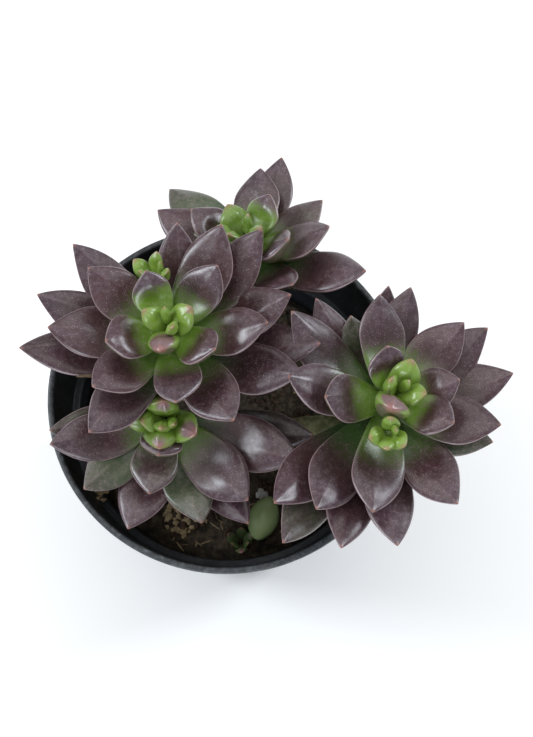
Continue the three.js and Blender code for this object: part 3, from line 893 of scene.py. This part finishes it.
def build_soil(rings=110, segments=220):
    top, faces = [(0, 0, soil_height(0, 0))], []
    for ring in range(1, rings + 1):
        radius = SOIL_RADIUS * ring / rings
        for k in range(segments):
            x = radius * math.cos(2 * math.pi * k / segments)
            y = radius * math.sin(2 * math.pi * k / segments)
            top.append((x, y, soil_height(x, y)))
    for k in range(segments):
        faces.append((0, 1 + k, 1 + (k + 1) % segments))
    for ring in range(rings - 1):
        a, b = 1 + ring * segments, 1 + (ring + 1) * segments
        for k in range(segments):
            after = (k + 1) % segments
            faces.append((a + k, b + k, b + after, a + after))
    rim = 1 + (rings - 1) * segments
    foot = len(top)
    low = FLOOR + SOIL_GAP
    inside = wall_radius(low) - WALL - SOIL_GAP
    for k in range(segments):
        angle = 2 * math.pi * k / segments
        top.append((inside * math.cos(angle), inside * math.sin(angle), low))
    for k in range(segments):
        after = (k + 1) % segments
        faces.append((rim + k, foot + k, foot + after, rim + after))
    faces.append(tuple(reversed(range(foot, foot + segments))))
    settled(new_object("soil_mass", top, faces, POTTING_SOIL), "soil", "soil")


# Bits on the soil: their height, of their width, and their steepest pitch.
BIT_HEIGHT, BIT_PITCH = (0.5, 0.9), 0.4


def crumbs(name, material, count, size, stretch, spread=(0.0, 0.92), sink=0.25,
           slot="soil", centre=None, reach=5 * MM, top=None):
    """Angular bits scattered on the soil or round a centre, each an uneven lump."""
    points, faces, tones = [], [], []
    for _ in range(count):
        angle = RNG.uniform(0, 2 * math.pi)
        share = math.sqrt(RNG.uniform(spread[0] ** 2, spread[1] ** 2))
        x, y = share * SOIL_RADIUS * math.cos(angle), share * SOIL_RADIUS * math.sin(angle)
        if centre is not None:
            x = centre[0] + share * reach * math.cos(angle)
            y = centre[1] + share * reach * math.sin(angle)
        ground = soil_height(x, y) if top is None else top
        scale = RNG.uniform(*size) * np.array([RNG.uniform(*stretch), 1, RNG.uniform(*BIT_HEIGHT)])
        lump = unit_lump() * scale
        yaw, pitch = RNG.uniform(0, 2 * math.pi), RNG.uniform(-BIT_PITCH, BIT_PITCH)
        rise, run = math.sin(pitch), math.cos(pitch)
        tilt = np.array([[run, 0, rise], [0, 1, 0], [-rise, 0, run]])
        sine, cosine = math.sin(yaw), math.cos(yaw)
        spin = np.array([[cosine, -sine, 0], [sine, cosine, 0], [0, 0, 1]])
        lump = lump @ tilt.T @ spin.T + np.array([x, y, ground + scale[2] * (0.5 - sink)])
        first = len(points)
        points += lump.tolist()
        faces += [[first + k for k in face] for face in LUMP_FACES]
        tones += [RNG.uniform(-1, 1)] * len(lump)
    return settled(new_object(name, points, faces, material, {"tone": tones}, shade=False), slot)


def unit_lump():
    """An uneven ball of three rings of six points and two poles."""
    heights, radii = (-0.62, 0.0, 0.62), (0.75, 1.0, 0.72)
    points = [(0, 0, -1)]
    for height, radius in zip(heights, radii):
        for k in range(6):
            angle = math.pi / 3 * k + 0.5 * height
            points.append((radius * math.cos(angle), radius * math.sin(angle), height))
    points.append((0, 0, 1))
    return np.array(points) * RNG.uniform(0.72, 1.12, (len(points), 1)) / 2


def lump_faces():
    faces = [(0, 1 + (k + 1) % 6, 1 + k) for k in range(6)]
    for ring in range(2):
        a = 1 + 6 * ring
        faces += [(a + k, a + (k + 1) % 6, a + 6 + (k + 1) % 6, a + 6 + k) for k in range(6)]
    return faces + [(13 + k, 13 + (k + 1) % 6, 19) for k in range(6)]


LUMP_FACES = lump_faces()


FALLEN_LENGTH, FALLEN_HALF_WIDTH, FALLEN_HALF_DEPTH = 12 * MM, 4.0 * MM, 3.2 * MM
FALLEN_AZIMUTH = math.radians(72)
DRIED_LEAF = (198, 25, -17, 6.5)  # azimuth, reach, rise and width, as in the tables
CRINKLE_SCALE, CRINKLE_HEIGHT = 600, 0.5 * MM


def build_fallen_leaf():
    """A plump leaf that broke off and lies on the soil."""
    low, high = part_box("fallen_leaf")
    centre = (low + high) / 2
    rows, sides = 30, 28
    t = np.linspace(0.02, 1, rows + 1)[:-1]
    turn = 2 * np.pi * np.arange(sides) / sides
    radius = np.sin(np.pi * t) ** 0.62
    along = np.array([math.cos(FALLEN_AZIMUTH), math.sin(FALLEN_AZIMUTH), 0])
    side = np.array([-math.sin(FALLEN_AZIMUTH), math.cos(FALLEN_AZIMUTH), 0])
    up = np.array([0, 0, 1.0])
    skin = (
        np.array(centre)
        + (FALLEN_LENGTH * (t - 0.5))[:, None, None] * along
        + radius[:, None, None] * (FALLEN_HALF_WIDTH * np.cos(turn)[None, :, None] * side)
        + radius[:, None, None] * (FALLEN_HALF_DEPTH * np.sin(turn)[None, :, None] * up)
    )
    flat = np.vstack([skin.reshape(-1, 3), np.array(centre) + FALLEN_LENGTH / 2 * along])
    count = len(flat)
    facts = {
        "along": np.append(np.repeat(0.15 + 0.4 * t, sides), 0.8),
        "edge": np.zeros(count),
        "upper": np.ones(count),
        # An age of -1 gives this leaf the paler green of painted light in the leaf skin.
        "age": np.full(count, -1.0),
        "grey": np.zeros(count),
        "tone": np.zeros(count),
        "flush": np.full(count, 1.4),
        "blunt": np.ones(count),
        "across": np.ones(count),
    }
    leaf = new_object("fallen_leaf_skin", flat, ring_faces(rows, sides), LEAF_SKIN, facts)
    settled(leaf, "young_leaf", "fallen_leaf")


def build_dried_leaf():
    """A withered leaf that still hangs under the left rosette."""
    plan = ROSETTES["a"]
    rosette = RosetteFrame(plan["heart"], plan["lean"], plan["toward"])
    rows, sides, order = 36, 24, 20
    leaf = dressed(leaf_measures(*DRIED_LEAF, order), 1.0, plump=0.5, cup=0.7, twist=0.9)
    local, facts = leaf_points(leaf, rows, sides)
    crinkle = np.array([noise.noise(Vector(point) * CRINKLE_SCALE) for point in local])
    local[:, 2] += CRINKLE_HEIGHT * crinkle
    facts["tone"] = np.zeros(len(local))
    faces = ring_faces(rows, sides)
    skin = new_object("dried_leaf", rosette.world(local), faces, DRY_SKIN, facts)
    settled(skin, "stem_skin")


# ---- stage --------------------------------------------------------------------------------

FLOOR_SIZE = 6
WORLD_STRENGTH = 0.48
# Soft boxes: name, place, size, power and colour. All face the middle of the rim.
LIGHTS = (
    ("overhead", (-0.10, 0.35, 0.95), 1.10, 3.7, (1.0, 0.96, 0.90)),
    ("left_box", (-0.64, 0.10, 0.52), 0.26, 3.2, (0.88, 0.94, 1.0)),
    ("right_box", (0.62, 0.30, 0.50), 0.26, 3.0, (0.88, 0.94, 1.0)),
    ("front_box", (-0.10, -0.72, 0.46), 0.26, 2.4, (0.88, 0.94, 1.0)),
)


def build_stage():
    n = Nodes("pale_floor")
    n.finish(rgb(0.96, 0.96, 0.96), 0.9)
    bpy.ops.mesh.primitive_plane_add(size=FLOOR_SIZE)
    floor = bpy.context.object
    floor.name = "floor"
    floor.data.materials.append(n.material)

    world = bpy.context.scene.world or bpy.data.worlds.new("studio")
    bpy.context.scene.world = world
    world.use_nodes = True
    world.node_tree.nodes["Background"].inputs[0].default_value = rgb(0.98, 0.99, 1.0)
    world.node_tree.nodes["Background"].inputs[1].default_value = WORLD_STRENGTH

    aim = Vector((0, 0, RIM_HEIGHT))
    for name, place, size, power, colour in LIGHTS:
        light = bpy.data.lights.new(name, "AREA")
        light.size = size
        light.energy = power
        light.color = colour
        obj = bpy.data.objects.new(name, light)
        obj.location = place
        obj.rotation_euler = (aim - obj.location).to_track_quat("-Z", "Y").to_euler()
        bpy.context.scene.collection.objects.link(obj)


CAMERA_ELEVATION = math.radians(73.6)
CAMERA_DISTANCE = 0.45
CAMERA_LENS = 87.5  # millimetres, on a sensor 36 mm along the long side
AIM_OFFSET = Vector((9.8 * MM, 6.9 * MM, 0))


def build_camera():
    data = bpy.data.cameras.new("camera")
    data.lens = CAMERA_LENS
    data.sensor_width = 36
    camera = bpy.data.objects.new("camera", data)
    back = Vector((0, -math.cos(CAMERA_ELEVATION), math.sin(CAMERA_ELEVATION)))
    aim = Vector((0, 0, RIM_HEIGHT)) + AIM_OFFSET
    camera.location = aim + back * CAMERA_DISTANCE
    camera.rotation_euler = back.to_track_quat("Z", "Y").to_euler()
    bpy.context.scene.collection.objects.link(camera)
    bpy.context.scene.camera = camera


build_camera()
build_stage()
for letter, plan in ROSETTES.items():
    build_rosette(letter, plan)
for node, plan in OFFSETS.items():
    build_offset(node, plan)
build_fallen_leaf()
build_dried_leaf()
build_pot()
build_soil()

# The bits on the soil: how many, from what size to what size, and how much longer than wide.
TAN_HEAP_PLACE = (-12 * MM, -27 * MM)
LEDGE_LITTER_PLACE = (-33 * MM, -21.5 * MM)
PERLITE_PLACE = (8.9 * MM, -20.6 * MM)
STRAW_PLACE = (-9 * MM, -27 * MM)

bark = crumb_material("bark", rgb(0.02, 0.012, 0.008), rgb(0.1, 0.055, 0.03))
crumbs("bark_crumbs", bark, 420, (0.8 * MM, 2.4 * MM), (0.8, 1.8))
flakes = crumb_material("vermiculite", rgb(0.2, 0.13, 0.06), rgb(0.48, 0.36, 0.2))
crumbs("tan_flakes", flakes, 26, (0.5 * MM, 1.3 * MM), (0.8, 1.8))
heap = crumb_material("vermiculite_heap", rgb(0.3, 0.21, 0.11), rgb(0.62, 0.5, 0.3))
crumbs("tan_heap", heap, 60, (0.7 * MM, 1.9 * MM), (0.8, 2.2), centre=TAN_HEAP_PLACE)
litter = crumb_material("ledge_vermiculite", rgb(0.3, 0.21, 0.11), rgb(0.62, 0.5, 0.3))
crumbs("ledge_litter", litter, 16, (0.6 * MM, 1.4 * MM), (0.8, 2.2), centre=LEDGE_LITTER_PLACE,
       top=LEDGE_HEIGHT + 1.0 * MM, reach=2.5 * MM)
grains = crumb_material("perlite_grains", rgb(0.5, 0.5, 0.47), rgb(0.85, 0.85, 0.83))
crumbs("perlite_heap", grains, 4, (1.6 * MM, 3.0 * MM), (0.8, 1.2), centre=PERLITE_PLACE,
       reach=2 * MM)
fibre = crumb_material("dry_fibre", rgb(0.2, 0.13, 0.07), rgb(0.52, 0.4, 0.25))
crumbs("straw_heap", fibre, 34, (0.3 * MM, 0.5 * MM), (5.0, 12.0), centre=STRAW_PLACE,
       reach=9 * MM)
straw = crumb_material("dry_straw", rgb(0.22, 0.14, 0.07), rgb(0.5, 0.38, 0.22))
crumbs("straw", straw, 26, (0.4 * MM, 0.6 * MM), (6.0, 11.0))
perlite = crumb_material("white_perlite", rgb(0.55, 0.55, 0.52), rgb(0.85, 0.85, 0.83))
crumbs("perlite", perlite, 7, (1.2 * MM, 2.4 * MM), (0.8, 1.2))

bpy.context.scene.view_settings.view_transform = "Standard"
